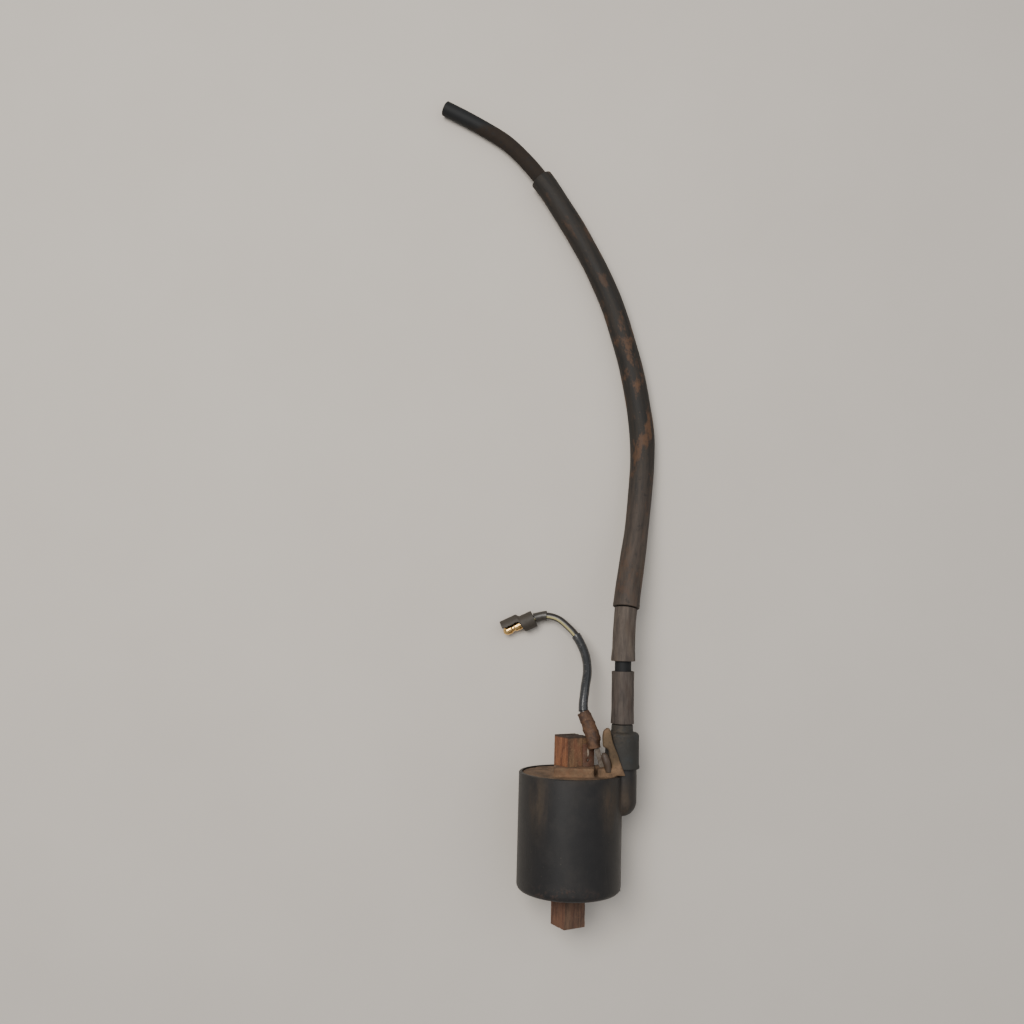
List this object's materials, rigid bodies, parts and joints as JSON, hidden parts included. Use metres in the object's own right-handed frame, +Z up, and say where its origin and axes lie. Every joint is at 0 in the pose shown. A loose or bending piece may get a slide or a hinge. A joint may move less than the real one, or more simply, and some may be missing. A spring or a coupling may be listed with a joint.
{
  "type": "ignition coil with high tension lead",
  "caption": "Round potted ignition coil with a laminated core through it, a side lead tower with rubber cap, a sleeved high tension lead and a short primary wire with a bullet terminal.",
  "frame": {"origin": "on the surface the coil lies on, under the middle of the rigid coil's own box (lead, wire and what is on them left out)", "axes": "+Y along the coil's axis towards the lead, +X towards the lead tower, +Z up"},
  "size_m": [0.1015, 0.3674, 0.0434],
  "materials": {
    "case": "satin moulded, dusty",
    "resin": "dull cast resin with dust and rust stains",
    "core_steel": "rusted laminated steel",
    "bobbin": "moulded",
    "copper": "enamelled copper",
    "paper": "varnished paper",
    "brass": "worn bright",
    "boot_rubber": "aged, dusty at the shoulder",
    "lead_jacket": "glossy where covered, dirty where bare",
    "sleeve_rubber": "dusty, fine lengthwise scuffs",
    "long_sleeve_rubber": "dirty, rust coloured blotches",
    "wire_jacket": "smooth with a pale stripe",
    "wire_sleeve": "smooth, slightly dusty",
    "cover_rubber": "aged, torn open along one side",
    "wrap_tape": "rust soaked tape",
    "tinned_steel": "tinned, tarnished",
    "tail_sleeve": "varnished sleeve",
    "tag_steel": "tarnished, rust stained"
  },
  "bodies": {
    "coil": {"coil_case": "case", "potting_resin": "resin", "core_plate_01": "core_steel", "core_plate_02": "core_steel", "core_plate_03": "core_steel", "core_plate_04": "core_steel", "core_plate_05": "core_steel", "core_plate_06": "core_steel", "core_plate_07": "core_steel", "core_plate_08": "core_steel", "core_plate_09": "core_steel", "core_plate_10": "core_steel", "core_plate_11": "core_steel", "core_plate_12": "core_steel", "core_plate_13": "core_steel", "core_plate_14": "core_steel", "core_plate_15": "core_steel", "core_plate_16": "core_steel", "core_plate_17": "core_steel", "core_plate_18": "core_steel", "core_plate_19": "core_steel", "core_plate_20": "core_steel", "primary_bobbin": "bobbin", "secondary_bobbin": "bobbin", "primary_winding": "copper", "secondary_winding_1": "copper", "secondary_winding_2": "copper", "secondary_winding_3": "copper", "primary_insulation": "paper", "ht_link": "copper", "ht_terminal_screw": "brass", "ht_lead": "lead_jacket", "ht_conductor": "copper", "guard_sleeve_middle": "sleeve_rubber", "guard_sleeve_long": "long_sleeve_rubber", "primary_wire": "wire_jacket", "primary_conductor": "copper", "primary_sleeve_long": "wire_sleeve", "primary_sleeve_short": "wire_sleeve", "bullet_terminal": "brass", "bullet_cover": "cover_rubber", "terminal_wrap": "wrap_tape", "terminal_strip": "tinned_steel", "winding_tail_sleeve": "tail_sleeve", "winding_tail": "copper", "earth_tag": "tag_steel"},
    "cap": {"tower_cap": "boot_rubber"},
    "sleeve": {"guard_sleeve_lower": "sleeve_rubber"}
  },
  "joints": [
    {"name": "cap_slide", "type": "slide", "parent": "coil", "child": "cap", "axis": [0, 1, 0], "range_m": [0, 0.0038]},
    {"name": "sleeve_slide", "type": "slide", "parent": "coil", "child": "sleeve", "axis": [0, 1, 0], "range_m": [0, 0.0038]}
  ],
  "couplings": [
    {"joint": "sleeve_slide", "follows": "cap_slide", "ratio": 1}
  ]
}
